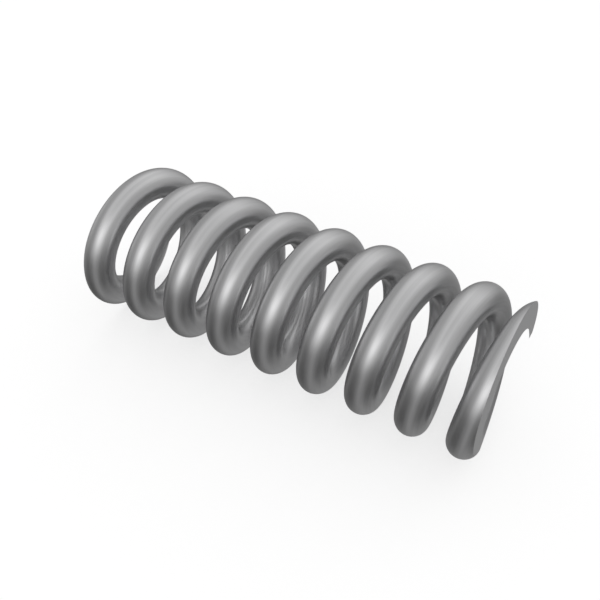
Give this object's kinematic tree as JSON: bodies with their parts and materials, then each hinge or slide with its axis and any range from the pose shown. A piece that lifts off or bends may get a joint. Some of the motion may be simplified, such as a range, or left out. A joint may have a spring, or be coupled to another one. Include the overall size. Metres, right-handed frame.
{
  "type": "compression spring",
  "caption": "Open coil spring wound left hand from round steel wire, with both ends ground flat, that pushes back when squeezed along its axis.",
  "frame": {"origin": "on the coil's axis, in the plane of the lower ground seat", "axes": "+Z along the coil's axis from the lower seat to the upper one, +X from the axis towards the wire's lower tip"},
  "size_m": [0.0252, 0.0252, 0.0669],
  "materials": {
    "spring_steel": "satin"
  },
  "bodies": {
    "root": {"compression_spring": "spring_steel"}
  },
  "joints": []
}
